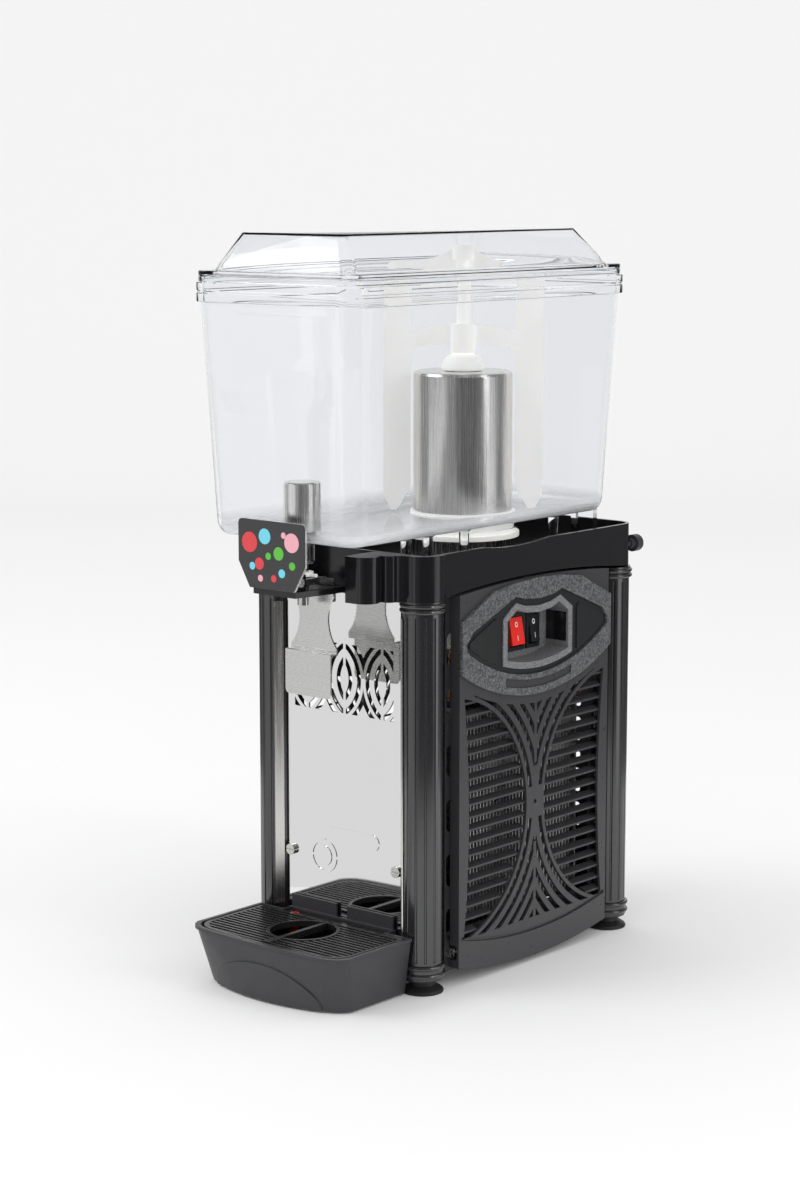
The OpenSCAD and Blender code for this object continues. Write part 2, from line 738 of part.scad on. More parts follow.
module tap_seal() color("#303030") placed() tube_z(0, -tap_y, 387.1, 390, 4.8, 12.5);

module tap_collar() color("whitesmoke") placed() {
  tube_z(0, -tap_y, 353, 356.4, 4.8, 8.6);
  for (s = [-1, 1]) rod_x(min(s * 7, s * 15), max(s * 7, s * 15), -tap_y, 354.3, 1.4);
}

// Paddle that a cup pushes back, with two arms running forward to the pin
module push_lever() color("silver") placed() difference() {
  union() {
    along(neck_y, neck_y + sheet_t) difference() {
      union() {
        translate([-22, 300]) square([44, 51]);
        translate([-plate_w / 2, 287]) square([plate_w, 24]);
      }
      for (s = [-1, 1]) translate([s * 51, 316]) circle(35, $fn = 144);
    }
    along(-182.5, -182.5 + sheet_t) difference() {
      round_rect(-plate_w / 2, plate_w / 2, 250.6, 288, 4);
    }
    block(-plate_w / 2, plate_w / 2, -182.5, neck_y + sheet_t, 286.5, 288);
    rod_x(-plate_w / 2, plate_w / 2, -180.9, 286.9, 1.7);
    for (s = [-1, 1]) {
      block(s * 13.4 - 0.75, s * 13.4 + 0.75, pin_y, neck_y + 0.5, 347.4, 352.4);
      rod_x(s * 13.4 - 0.75, s * 13.4 + 0.75, pin_y, pin_z, 5.4);
    }
  }
  rod_x(-16, 16, pin_y, pin_z, 2.5 + run_gap);
}

module lever_pin() color("silver") placed() {
  rod_x(-22, 22, pin_y, pin_z, 2.5);
  for (s = [-1, 1]) rod_x(s * 22 - 0.8, s * 22 + 0.8, pin_y, pin_z, 3.8);
}

// ---- drip tray -----------------------------------------------------------

tray_steps = 24;

// Front edge of the tray: bowed, with rounded ends
function tray_edge(half, front, bow, corner) =
  [for (i = [0:tray_steps]) let (t = sin(180 * i / tray_steps - 90))
    [half * t, -front + bow * pow(t, 2) + corner * pow(t, 16)]];

module tray_plan(half, front, bow, corner, back)
  polygon(concat(tray_edge(half, front, bow, corner), [[half, back], [-half, back]]));

module tray_body(inset, z0, z1) hull() {
  translate([0, 0, z1 - 0.5]) linear_extrude(0.5)
    tray_plan(tray_half - inset, tray_front - 1 - inset, 5, 12, tray_back - inset);
  translate([0, 0, z0]) linear_extrude(0.5)
    tray_plan(tray_half - 7 - inset, tray_front - 4 - inset, 18, 8, tray_back - inset);
}

// Arch that stands 1 mm proud on the tray's front
module tray_arch() intersection() {
  tray_body(-1, 2, tray_top - 1);
  along(-tray_front, -190) intersection() {
    translate([0, 2]) scale([1, 0.52]) circle(60);
    translate([-60, 2]) square([120, 32]);
  }
}

module drip_tray() color("#2b2c2e") placed() {
  difference() {
    union() {
      tray_body(0, 2, tray_top);
      block(-60, 60, tray_back - 4, mirror_y - 1.2, tray_floor, tray_top);
      translate([0, 0, tray_top - 2.5]) linear_extrude(2.5)
        tray_plan(tray_half + 1, tray_front, 5, 12, tray_back);
      tray_arch();
    }
    tray_body(tray_wall, tray_floor + 2, tray_top + 1);
    block(-60 + tray_wall, 60 - tray_wall, tray_back - 8, mirror_y - 1.2 - tray_wall,
          tray_floor + 2, tray_top + 1);
    intersection() {
      tray_body(tray_wall, 1, tray_top);
      block(-100, 100, -300, 0, 0, tray_floor);
    }
    for (s = [-1, 1]) block(s * 40 - 12, s * 40 + 12, -160, -130, 0, tray_floor);
  }
  for (s = [-1, 1])
    block(s * 32 - 26, s * 32 + 26, mirror_y - 3.2, mirror_y - 1.2, tray_top - 2, 62);
  // ledge blocks that carry the grate
  for (s = [-1, 1], y = [-222, -160]) block(s * 70 - 3, s * 70 + 3, y - 3, y + 3, tray_floor + 1, 45);
}

module grate_plan(inset)
  tray_plan(tray_half - tray_wall - 1.9 - inset, tray_front - 4.6 - inset, 6, 13, tray_back - 3.6 - inset);

module drip_grate() color("#1d1e20") placed() difference() {
  union() {
    translate([0, 0, 45.3]) linear_extrude(3) grate_plan(0);
    block(-56.5, 56.5, tray_back - 6, mirror_y - 4.6, 45.3, 48.3);
    difference() {
      translate([0, 0, 48.3]) linear_extrude(1.9) grate_plan(0);
      translate([0, 0, 48.2]) linear_extrude(3) grate_plan(3);
    }
    intersection() {
      for (y = [-236:5.5:-158]) block(-78, 78, y, y + 2.4, 48.3, 50.2);
      translate([0, 0, 48]) linear_extrude(3) grate_plan(1);
    }
    rod_z(0, hole_y, 45.3, 50.6, hole_r + 3);
    block(-4, 4, -236, -158, 45.3, 50.8);
  }
  for (s = [-1, 1]) intersection() {
    rod_z(0, hole_y, 39, 53, hole_r);
    block(min(s * 2.2, s * 40), max(s * 2.2, s * 40), -230, -150, 39, 53);
  }
  rod_z(float_x, float_y, 39, 53, 6);
  block(12, 30, -153, -147, 39, 53);
}

module tray_float() color("red") placed() {
  rod_z(0, hole_y + 6, 12.5, 19, 15);
  translate([0, hole_y + 6, 14]) rotate(atan2(float_y - hole_y - 6, float_x))
    block(0, norm([float_x, float_y - hole_y - 6]), -3, 3, 0, 4);
  rod_z(float_x, float_y, 12.5, 48.2, 4.4);
}

// ---- refrigeration -------------------------------------------------------

module compressor() color("#1b1b1b") placed() {
  translate([comp_x, comp_y, 0]) rotate_extrude()
    polygon([[0, 32], [30, 32], [40, 37], [44.5, 46], [45, 78], [46.5, 79], [46.5, 84], [45, 85],
             [44, 108], [38, 120], [26, 127], [0, 130]]);
  round_slab(comp_x - 50, comp_x + 50, comp_y - 42, comp_y + 42, 8, 28, 32.5);
  block(comp_x - 22, comp_x + 12, comp_y - 56, comp_y - 40, 60, 104);
  rod_z(comp_x + 20, comp_y + 20, 110, stub_top, 4.6);
  rod_z(comp_x - 20, comp_y, 110, stub_top, 4.6);
}

module compressor_grommets() color("#282828") placed()
  for (x = [-42, 42], y = [-34, 34]) tube_z(comp_x + x, comp_y + y, col_z, 28, 3, 8);

module condenser() color("silver") placed() {
  for (y = [-88:4.5:78]) block(62, 80, y, y + 0.8, 44, 230);
  for (z = [56:24:224]) rod_y(71, -90, 81, z, 4);
  for (y = [-91.5, 80.5]) block(60, 82, y, y + 1.5, 38, 236);
}

module fan_shroud() color("#3a3a3a") placed() {
  difference() {
    union() {
      block(56, 58, -91.5, 82, 38, 236);
      rod_x(46, 58, 0, fan_z, 75.5);
    }
    rod_x(45, 59, 0, fan_z, 73);
  }
  for (a = [90, 210, 330]) translate([0, 0, fan_z]) rotate([a, 0, 0]) {
    block(24, 27, -3, 3, 23, 80);
    block(24, 57, -3, 3, 76, 80);
  }
}

module fan_motor() color("#505050") placed() difference() {
  union() {
    rod_x(-2, 38, 0, fan_z, 22.9);
    rod_x(38, 41, 0, fan_z, 10);
  }
  rod_x(8, 42, 0, fan_z, 2.5 + run_gap);
}

module fan_rotor() color("#606060") placed() translate([0, 0, fan_z]) {
  rod_x(10, 52, 0, 0, 2.5);
  rod_x(43, 54, 0, 0, 14);
  for (i = [0:4]) rotate([72 * i, 0, 0]) translate([49, 0, 12]) rotate([0, 0, 28])
    linear_extrude(57) round_rect(-1, 1, -14, 14, 0.9);
}

// From the compressor's top to the condenser's upper end
module discharge_pipe() color("peru") placed()
  pipe([[comp_x + 20, comp_y + 20, stub_top], [comp_x + 20, comp_y + 20, 255], [40, 98, 255],
        [71, 98, 224], [71, 82, 224]], 3.2);

// From the evaporator coil back to the compressor
module suction_pipe() color("peru") placed()
  pipe([[comp_x - 20, comp_y, stub_top], [comp_x - 20, comp_y, 250], [-38.9, evap_y, 330],
        [-38.9, evap_y, 360]], 3);

// From the condenser's lower end up to the evaporator coil
module liquid_pipe() color("peru") placed()
  pipe([[71, 82, 56], [71, 98, 56], [30, 108, 80], [-30, 108, 290], [-28, 44, 335],
        [-28, evap_y, 352]], 2);

module thermostat() color("ivory") placed() {
  round_slab(-72, -42, -70, -30, 3, 276, 310);
  rod_z(-57, -50, 262, 276, 4);
  block(-60, -54, -30, -24, 286, 300);
}

module cable_gland() color("#181818") placed() difference() {
  union() {
    rod_y(gland_x, 131, 138, gland_z, 7.4);
    rod_y(gland_x, 138, 142, gland_z, 11);
    rod_y(gland_x, 142, 152, gland_z, 8.4);
    rod_y(gland_x, 133, 136.4, gland_z, 11);
  }
  rod_y(gland_x, 130, 153, gland_z, 4.2);
}

module side_frame_left() side_frame(-1);
module side_frame_right() side_frame(1);
module side_grille_left() side_grille(-1, false);
module side_grille_right() side_grille(1, true);

base_pan();
front_panel();
rear_panel();
side_frame_left();
side_frame_right();
side_grille_left();
side_grille_right();
blank_bezel();
control_bezel();
control_fascia();
control_recess();
column_front_left();
column_front_right();
column_rear_left();
column_rear_right();
column_trims();
feet();
foot_bolts();
panel_screws();
base_screws();
top_basin();
evaporator();
evaporator_coil();
shaft_tube();
centre_pin();
bowl_gasket();
drive_motor();
drive_shaft();
drive_magnet();
stirrer();
stirrer_cup();
stirrer_magnet();
bowl();
lid();
tap_piston();
tap_seal();
tap_collar();
drain_spout();
push_lever();
lever_pin();
badge_plate();
drip_tray();
drip_grate();
tray_float();
power_switch_body();
stir_switch_body();
power_rocker();
stir_rocker();
compressor();
compressor_grommets();
condenser();
fan_motor();
fan_rotor();
fan_shroud();
discharge_pipe();
suction_pipe();
liquid_pipe();
thermostat();
cable_gland();
lock_screw();
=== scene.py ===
"""Looks of the drink dispenser: clear bowl and lid, badge, marks, and a finish for every CAD node."""

import math

import bmesh
import bpy
from mathutils import Matrix, Vector


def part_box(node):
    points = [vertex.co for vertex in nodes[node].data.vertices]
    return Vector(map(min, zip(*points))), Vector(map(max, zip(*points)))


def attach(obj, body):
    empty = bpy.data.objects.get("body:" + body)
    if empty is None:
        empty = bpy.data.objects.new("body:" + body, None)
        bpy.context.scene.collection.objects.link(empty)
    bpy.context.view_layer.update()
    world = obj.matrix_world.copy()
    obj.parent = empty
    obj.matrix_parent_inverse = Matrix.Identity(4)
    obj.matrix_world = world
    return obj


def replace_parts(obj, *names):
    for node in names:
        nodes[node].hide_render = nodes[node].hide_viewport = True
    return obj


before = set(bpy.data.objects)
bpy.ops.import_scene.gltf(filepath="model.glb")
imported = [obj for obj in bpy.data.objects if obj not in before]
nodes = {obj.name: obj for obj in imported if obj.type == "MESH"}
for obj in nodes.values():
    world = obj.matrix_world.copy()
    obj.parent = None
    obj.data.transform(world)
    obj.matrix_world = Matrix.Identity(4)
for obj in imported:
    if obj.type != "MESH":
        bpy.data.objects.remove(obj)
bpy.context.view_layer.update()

MM = 0.001
COLUMN_Y = 42 * MM  # from the middle of the columns to the frame's origin


# ---- finishes --------------------------------------------------------------


class Finish:
    """A material built from one Principled shader, with patterns in the part's own coordinates."""

    def __init__(self, name, colour, roughness, metallic=0.0, **sockets):
        self.material = bpy.data.materials.new(name)
        self.material.use_nodes = True
        self.tree = self.material.node_tree
        self.shader = self.tree.nodes["Principled BSDF"]
        self.set(**{"Base Color": (*colour, 1), "Roughness": roughness, "Metallic": metallic})
        self.set(**sockets)
        self.place = self.tree.nodes.new("ShaderNodeTexCoord").outputs["Object"]

    def set(self, **sockets):
        for name, value in sockets.items():
            self.shader.inputs[name.replace("_", " ")].default_value = value

    def link(self, source, target):
        self.tree.links.new(source, target)

    def stretched(self, stretch):
        node = self.tree.nodes.new("ShaderNodeMapping")
        node.inputs["Scale"].default_value = stretch
        self.link(self.place, node.inputs["Vector"])
        return node.outputs["Vector"]

    def noise(self, scale, stretch=(1, 1, 1), detail=3.0, rough=0.55):
        node = self.tree.nodes.new("ShaderNodeTexNoise")
        node.inputs["Scale"].default_value = scale
        node.inputs["Detail"].default_value = detail
        node.inputs["Roughness"].default_value = rough
        self.link(self.stretched(stretch), node.inputs["Vector"])
        return node.outputs["Fac"]

    def spread(self, source, low, high, start=0.3, end=0.7):
        node = self.tree.nodes.new("ShaderNodeMapRange")
        for name, value in (("From Min", start), ("From Max", end), ("To Min", low), ("To Max", high)):
            node.inputs[name].default_value = value
        self.link(source, node.inputs["Value"])
        return node.outputs["Result"]

    def rough(self, source, low, high, start=0.3, end=0.7):
        self.link(self.spread(source, low, high, start, end), self.shader.inputs["Roughness"])

    def tint(self, source, dark, light, start=0.35, end=0.65):
        node = self.tree.nodes.new("ShaderNodeValToRGB")
        ramp = node.color_ramp.elements
        ramp[0].position, ramp[0].color = start, (*dark, 1)
        ramp[1].position, ramp[1].color = end, (*light, 1)
        self.link(source, node.inputs["Fac"])
        self.link(node.outputs["Color"], self.shader.inputs["Base Color"])

    def relief(self, source=None, height=0.05 * MM, edge=0.0, strength=1.0):
        """Surface relief of that height, over edges rounded to that radius."""
        normal = None
        if edge:
            bevel = self.tree.nodes.new("ShaderNodeBevel")
            bevel.samples = 4
            bevel.inputs["Radius"].default_value = edge
            normal = bevel.outputs["Normal"]
        if source is not None:
            bump = self.tree.nodes.new("ShaderNodeBump")
            bump.inputs["Strength"].default_value = strength
            bump.inputs["Distance"].default_value = height
            self.link(source, bump.inputs["Height"])
            if normal is not None:
                self.link(normal, bump.inputs["Normal"])
            normal = bump.outputs["Normal"]
        self.link(normal, self.shader.inputs["Normal"])


def plain(name, colour, roughness, wear, grain, edge, metallic=0.0, **sockets):
    """A finish of one colour. wear is (scale, detail, low, high) of the roughness pattern, grain is
    (scale, detail, height in mm) of the relief, and edge is the shaded radius of edges in mm."""
    f = Finish(name, colour, roughness, metallic, **sockets)
    scale, detail, low, high = wear
    f.rough(f.noise(scale, detail=detail), low, high)
    scale, detail, height = grain
    f.relief(f.noise(scale, detail=detail), height * MM, edge=edge * MM)
    return f.material


def column_black():
    """Lacquered columns, a little more reflective than the moulded plastic."""
    f = Finish("column_black", (0.014, 0.014, 0.016), 0.18, IOR=1.9)
    f.rough(f.noise(80, (1, 1, 0.1), detail=4), 0.14, 0.24)
    f.relief(f.noise(500, detail=1), 0.01 * MM, edge=0.3 * MM)
    return f.material


def grey_texture():
    f = Finish("grey_texture", (0.09, 0.092, 0.097), 0.5)
    speckle = f.noise(620, detail=3, rough=0.75)
    f.tint(speckle, (0.030, 0.031, 0.034), (0.19, 0.194, 0.205), 0.40, 0.66)
    f.rough(speckle, 0.42, 0.62)
    f.relief(speckle, 0.16 * MM, edge=0.8 * MM)
    return f.material


def recess_grey():
    f = Finish("recess_grey", (0.16, 0.163, 0.168), 0.42)
    grain = f.noise(900, detail=3, rough=0.7)
    f.tint(grain, (0.10, 0.102, 0.107), (0.26, 0.264, 0.27), 0.38, 0.66)
    f.relief(grain, 0.05 * MM, edge=0.7 * MM)
    return f.material


def signal_red():
    f = Finish("signal_red", (0.92, 0.016, 0.008), 0.22, Coat_Weight=0.3, Subsurface_Weight=0.1)
    f.set(Subsurface_Scale=0.002)
    f.rough(f.noise(300, detail=3), 0.18, 0.30)
    f.relief(f.noise(900, detail=1), 0.01 * MM, edge=0.4 * MM)
    return f.material


def white_plastic():
    f = Finish("white_plastic", (0.88, 0.875, 0.85), 0.38, Subsurface_Weight=0.15)
    # painted light: the emission makes the white parts glow a little, so they stay bright behind the clear
    # bowl
    f.set(Subsurface_Scale=0.004, Emission_Color=(1.0, 0.99, 0.96, 1), Emission_Strength=0.3)
    cloud = f.noise(45, detail=4)
    f.tint(cloud, (0.86, 0.855, 0.83), (0.92, 0.915, 0.90))
    f.rough(cloud, 0.32, 0.45)
    f.relief(f.noise(1500, detail=2), 0.02 * MM, edge=0.8 * MM)
    return f.material


def brushed(name, along, colour, low=0.16, high=0.30):
    """Stainless with its brushing along one axis: 0, 1 or 2 for x, y or z."""
    f = Finish(name, colour, low, 1.0)
    stretch = [1.0, 1.0, 1.0]
    stretch[along] = 0.012
    lines = f.noise(1100, stretch, detail=4, rough=0.6)
    dark = tuple(0.82 * c for c in colour)
    f.tint(lines, dark, colour, 0.3, 0.62)
    f.rough(lines, low, high)
    f.relief(lines, 0.012 * MM, edge=0.4 * MM, strength=0.7)
    return f.material


def mirror_steel():
    """Mirror polish in front. Faces turned to the back are near black, a painted shade that keeps the inside
    of the cabinet dark.
    """
    f = Finish("mirror_steel", (0.86, 0.86, 0.86), 0.05, 1.0)
    facing = f.tree.nodes.new("ShaderNodeSeparateXYZ")
    f.link(f.tree.nodes["Texture Coordinate"].outputs["Normal"], facing.inputs["Vector"])
    # painted shade: the colour goes near black on faces that turn to the back
    f.tint(facing.outputs["Y"], (0.86, 0.86, 0.86), (0.02, 0.02, 0.02), 0.45, 0.55)
    lines = f.noise(900, (1, 1, 0.01), detail=3)
    f.rough(lines, 0.03, 0.06)
    f.relief(f.noise(9, detail=1), 0.03 * MM, strength=0.4)
    return f.material


def aluminium():
    f = Finish("aluminium", (0.70, 0.70, 0.70), 0.3, 1.0)
    wear = f.noise(160, detail=6)
    f.tint(wear, (0.48, 0.47, 0.45), (0.80, 0.80, 0.80))
    f.rough(wear, 0.22, 0.42)
    f.relief(f.noise(1200, detail=3), 0.03 * MM, edge=0.2 * MM)
    return f.material


def copper():
    f = Finish("copper", (0.72, 0.36, 0.22), 0.28, 1.0)
    stain = f.noise(110, detail=6)
    f.tint(stain, (0.42, 0.20, 0.12), (0.80, 0.42, 0.27))
    f.rough(stain, 0.20, 0.42)
    f.relief(f.noise(1500, detail=2), 0.02 * MM)
    return f.material


def clear_plastic(name, milky_below=None):
    """Clear polycarbonate that lets lamps through, so what stands behind it is lit as in the open.
    Below the height milky_below, if given, it turns whitish, as the thick foot of the bowl does."""
    f = Finish(name, (0.975, 0.985, 1.0), 0.02, IOR=1.38, Transmission_Weight=1.0)
    f.rough(f.noise(35, detail=4), 0.0, 0.035)
    f.relief(f.noise(14, detail=1), 0.06 * MM, strength=0.35)
    if milky_below:
        parts = f.tree.nodes.new("ShaderNodeSeparateXYZ")
        f.link(f.place, parts.inputs["Vector"])
        height = parts.outputs["Z"]
        clarity = f.spread(height, 0.55, 1.0, milky_below - 16 * MM, milky_below)
        f.link(clarity, f.shader.inputs["Transmission Weight"])
    path = f.tree.nodes.new("ShaderNodeLightPath")
    clear = f.tree.nodes.new("ShaderNodeBsdfTransparent")
    clear.inputs["Color"].default_value = (0.99, 0.99, 0.99, 1)
    mix = f.tree.nodes.new("ShaderNodeMixShader")
    f.link(path.outputs["Is Shadow Ray"], mix.inputs["Fac"])
    f.link(f.shader.outputs["BSDF"], mix.inputs[1])
    f.link(clear.outputs["BSDF"], mix.inputs[2])
    f.link(mix.outputs["Shader"], f.tree.nodes["Material Output"].inputs["Surface"])
    return f.material


def paint(name, colour):
    f = Finish(name, colour, 0.35)
    dark = tuple(0.93 * c for c in colour)
    f.tint(f.noise(800, detail=3), dark, colour)
    f.rough(f.noise(500, detail=3), 0.28, 0.42)
    return f.material


# ---- mesh making -----------------------------------------------------------


def piece(name, points, faces, material, sharp=35):
    """A new mesh object, its edges left sharp where the surface turns by more than that many degrees."""
    mesh = bpy.data.meshes.new(name)
    mesh.from_pydata(points, [], faces)
    work = bmesh.new()
    work.from_mesh(mesh)
    bmesh.ops.remove_doubles(work, verts=work.verts, dist=0.001 * MM)
    bmesh.ops.recalc_face_normals(work, faces=work.faces)
    work.to_mesh(mesh)
    work.free()
    mesh.materials.append(material)
    made = bpy.data.objects.new(name, mesh)
    bpy.context.scene.collection.objects.link(made)
    smooth(made, sharp)
    return made


def smooth(made, sharp):
    made.data.shade_smooth()
    made.data.set_sharp_from_angle(angle=math.radians(sharp))


def loft(rings, cap_start=True, cap_end=True):
    """Points and faces of a skin over closed rings that have the same number of points."""
    count = len(rings[0])
    points = [p for ring in rings for p in ring]
    faces = []
    for i in range(len(rings) - 1):
        for j in range(count):
            k = (j + 1) % count
            faces.append((i * count + j, i * count + k, (i + 1) * count + k, (i + 1) * count + j))
    if cap_start:
        faces.append(tuple(reversed(range(count))))
    if cap_end:
        faces.append(tuple(range((len(rings) - 1) * count, len(rings) * count)))
    return points, faces


def rounded_ring(half_w, half_l, middle_y, radius, z, steps=12, front=None):
    """Rounded rectangle at height z. front, if given, returns the points of the straight front side."""
    corners = (
        (half_w - radius, -half_l + radius, -90),
        (half_w - radius, half_l - radius, 0),
        (-half_w + radius, half_l - radius, 90),
        (-half_w + radius, -half_l + radius, 180),
    )
    ring = []
    for x, y, start in corners:
        for i in range(steps + 1):
            a = math.radians(start + 90 * i / steps)
            ring.append((x + radius * math.cos(a), middle_y + y + radius * math.sin(a), z))
    if front:
        ring += front(half_w - radius, middle_y - half_l, z)
    return ring


def lathe(profile, x, y, steps=48, caps=True):
    """Points and faces of a solid turned about a vertical axis from (radius, z) pairs."""
    rings = []
    for r, z in profile:
        turn = [2 * math.pi * i / steps for i in range(steps)]
        rings.append([(x + r * math.cos(a), y + r * math.sin(a), z) for a in turn])
    return loft(rings, caps, caps)


def join(name, parts, material):
    """One piece from several closed parts."""
    points, faces = [], []
    for part_points, part_faces in parts:
        start = len(points)
        points += part_points
        faces += [tuple(start + i for i in f) for f in part_faces]
    return piece(name, points, faces, material)


def cut(target, parts):
    """Takes the closed parts away from the target mesh."""
    tool = join("cutter", parts, target.data.materials[0])
    change = target.modifiers.new("cut", "BOOLEAN")
    change.operation = "DIFFERENCE"
    change.solver = "EXACT"
    change.object = tool
    bpy.context.view_layer.update()
    done = bpy.data.meshes.new_from_object(target.evaluated_get(bpy.context.evaluated_depsgraph_get()))
    target.modifiers.clear()
    target.data = done
    bpy.data.objects.remove(tool)


# ---- clear bowl ------------------------------------------------------------

bowl_low, bowl_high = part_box("bowl")
RIM_Z = bowl_high.z  # top of the bowl's lip
BEAD_HALF = bowl_high.x
BEAD_LENGTH = (bowl_high.y - bowl_low.y) / 2
BEAD_MIDDLE = (bowl_high.y + bowl_low.y) / 2
BEAD_Z = RIM_Z - 22.6 * MM  # where the walls meet the bead
FLOOR_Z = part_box("lid")[1].z - 250 * MM  # underside of the bowl
WALL = 2.8 * MM
DRAFT = 0.0472
CORNER = 19 * MM
PANEL_DEPTH = 2.0 * MM


def panel_half(z):
    """Half width of the sunk panel in the front wall: wide above, narrow below."""
    wide, narrow = 56 * MM, 42 * MM
    top, bottom = FLOOR_Z + 122 * MM, FLOOR_Z + 104 * MM
    share = min(1, max(0, (z - bottom) / (top - bottom)))
    return narrow + (wide - narrow) * share


def panel_depth(z):
    """Depth of the sunk panel, which fades out under the bead and at the floor."""
    above = (BEAD_Z - 6 * MM - z) / (3 * MM)
    below = (z - FLOOR_Z - 4 * MM) / (8 * MM)
    return PANEL_DEPTH * min(1, max(0, above)) * min(1, max(0, below))


def bowl_front(reach, y, z):
    """Points along the front wall from left to right, stepped in at the panel's edges."""
    edge, depth = panel_half(z), panel_depth(z)
    slope = 2.0 * MM
    across = [-reach + 1 * MM, -edge - slope, -edge + slope]
    across += [edge * t for t in (-0.7, -0.35, 0, 0.35, 0.7)]
    across += [edge - slope, edge + slope, reach - 1 * MM]
    return [(x, y + (depth if abs(x) < edge else 0), z) for x in across]


def bowl_ring(z, inset, radius):
    fall = DRAFT * (BEAD_Z - z)
    half = BEAD_HALF - 2.5 * MM - fall - inset
    length = BEAD_LENGTH - 3 * MM - fall - inset
    return rounded_ring(half, length, BEAD_MIDDLE - 0.5 * MM, radius, z, front=bowl_front)


def bead_ring(z, inset):
    radius = CORNER - min(inset, 6 * MM)
    return rounded_ring(BEAD_HALF - inset, BEAD_LENGTH - inset, BEAD_MIDDLE, radius, z, front=bowl_front)


def bowl_rings():
    under = [(0, 9), (0.5, 6.6), (1.6, 4.4), (3.2, 2.8), (5.6, 1.4), (8.6, 0.4), (12, 0)]
    rings = [bowl_ring(FLOOR_Z + z * MM, i * MM, CORNER - i * MM) for z, i in under]
    heights = [20, 40, 60, 80, 96, 103.5, 104.5, 113, 121.5, 122.5]
    heights += [140, 160, 175, 183, 184.2, 186, 187.2, 190, 192.8]
    rings += [bowl_ring(FLOOR_Z + z * MM, 0, CORNER) for z in heights]
    bead = [(0, 2.2), (0.5, 0.4), (1.1, 0), (7.2, 0), (7.8, 1.0), (9.4, 1.0), (10, 0), (15.8, 0), (16.4, 0.5)]
    bead += [(16.5, 3.3), (17.1, 3.7), (22.2, 3.7), (22.6, 4.1), (22.6, 5.2), (22.2, 5.5)]
    rings += [bead_ring(BEAD_Z + z * MM, i * MM) for z, i in bead]
    inner = CORNER - WALL
    rings += [bowl_ring(FLOOR_Z + z * MM, WALL, inner) for z in reversed(heights)]
    inside = [(13, 2.8), (10, 3.1), (7.4, 4.0), (5.2, 5.4), (3.8, 7.4), (3.0, 9.6), (2.8, 12)]
    rings += [bowl_ring(FLOOR_Z + z * MM, i * MM, CORNER - i * MM) for z, i in inside]
    return rings


def make_bowl(material):
    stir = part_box("evaporator")
    stir_y = (stir[0].y + stir[1].y) / 2
    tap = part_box("tap_piston")
    tap_y = (tap[0].y + tap[1].y) / 2
    bowl = piece("bowl_clear", *loft(bowl_rings()), material)
    gap = 0.3 * MM
    hole = 46.8 * MM + gap
    spout = 6.6 * MM
    below, above = FLOOR_Z - 10 * MM, FLOOR_Z + 12 * MM
    cut(bowl, [lathe([(hole, below), (hole, above)], 0, stir_y, 96),
               lathe([(spout, below), (spout, above)], 0, tap_y)])
    smooth(bowl, 35)
    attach(bowl, "bowl")
    return bowl, stir_y, tap_y


def ring_wall(x, y, low, high, inner, outer, steps=64):
    """A short upright tube with softened rims."""
    soft = 0.5 * MM
    profile = [(inner, low + soft), (inner + soft, low), (outer - soft, low), (outer, low + soft)]
    profile += [(outer, high - soft), (outer - soft, high), (inner + soft, high), (inner, high - soft)]
    return lathe(profile + profile[:1], x, y, steps, caps=False)


def box_part(x0, x1, y0, y1, z0, z1):
    ring = [(x0, y0), (x1, y0), (x1, y1), (x0, y1)]
    return loft([[(x, y, z) for x, y in ring] for z in (z0, z1)])


def make_bowl_underside(material, stir_y, tap_y):
    """Legs, the collar round the evaporator, the outlet and the lug for the lock screw."""
    stand = bowl_low.z
    seam = FLOOR_Z - 0.05 * MM  # just under the bowl's floor
    parts = []
    for side in (-1, 1):
        for y in (-92, -64, -16, 108):
            profile = [(2.0, stand), (2.6, stand + 0.5 * MM), (4.6, FLOOR_Z - 1.5 * MM), (6.2, seam)]
            parts.append(lathe([(r * MM, z) for r, z in profile], side * 66 * MM, y * MM, 32))
    parts.append(ring_wall(0, stir_y, FLOOR_Z - 10 * MM, seam, 47.1 * MM, 49.5 * MM, 96))
    parts.append(ring_wall(0, tap_y, FLOOR_Z - 20 * MM, seam, 6.6 * MM, 9.4 * MM))
    lug_y = COLUMN_Y + 128 * MM
    parts.append(box_part(68.2 * MM, 92 * MM, lug_y - 4 * MM, lug_y, stand, stand + 15.7 * MM))
    parts.append(box_part(60 * MM, 68 * MM, lug_y - 28 * MM, lug_y, stand, FLOOR_Z + 0.6 * MM))
    legs = join("bowl_legs", parts, material)
    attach(legs, "bowl")


# ---- clear lid -------------------------------------------------------------

lid_low, lid_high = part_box("lid")


